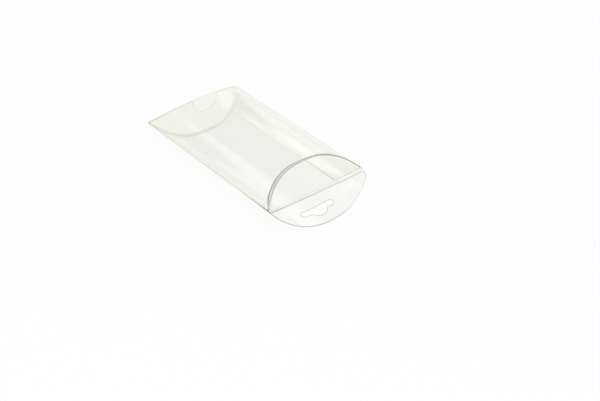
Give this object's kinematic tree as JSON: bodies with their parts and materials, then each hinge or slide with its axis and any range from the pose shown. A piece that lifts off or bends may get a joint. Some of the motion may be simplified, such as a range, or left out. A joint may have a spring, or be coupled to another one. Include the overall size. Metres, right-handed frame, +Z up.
{
  "type": "clear pillow box",
  "caption": "Clear film pillow box with curved panels, inward-curving ends, a hang flap with a slot out at one end and a thumb-notched flap closing the other.",
  "frame": {"origin": "on the table under the middle of the box, midway between the crease points and the side creases", "axes": "+X along the box to the hang flap, +Y to the side with the glue tab, +Z up"},
  "size_m": [0.1425, 0.0756, 0.0286],
  "materials": {
    "clear_film": "clear glossy plastic film with a faint yellow-green tint"
  },
  "bodies": {
    "sleeve": {"sleeve": "clear_film"},
    "tuck_flap": {"tuck_flap": "clear_film"},
    "thumb_flap": {"thumb_flap": "clear_film"}
  },
  "joints": [
    {"name": "tuck_flap_open", "type": "hinge", "parent": "sleeve", "child": "tuck_flap", "pos_m": [0.0497, 0, 0.0286], "axis": [0, -1, 0], "range_deg": [0, 60], "stiffness_Nm_per_rad": 0.01, "springref_deg": -2.86},
    {"name": "thumb_flap_open", "type": "hinge", "parent": "sleeve", "child": "thumb_flap", "pos_m": [-0.0497, 0, 0], "axis": [0, -1, 0], "range_deg": [0, 45], "stiffness_Nm_per_rad": 0.01, "springref_deg": -2.86}
  ]
}
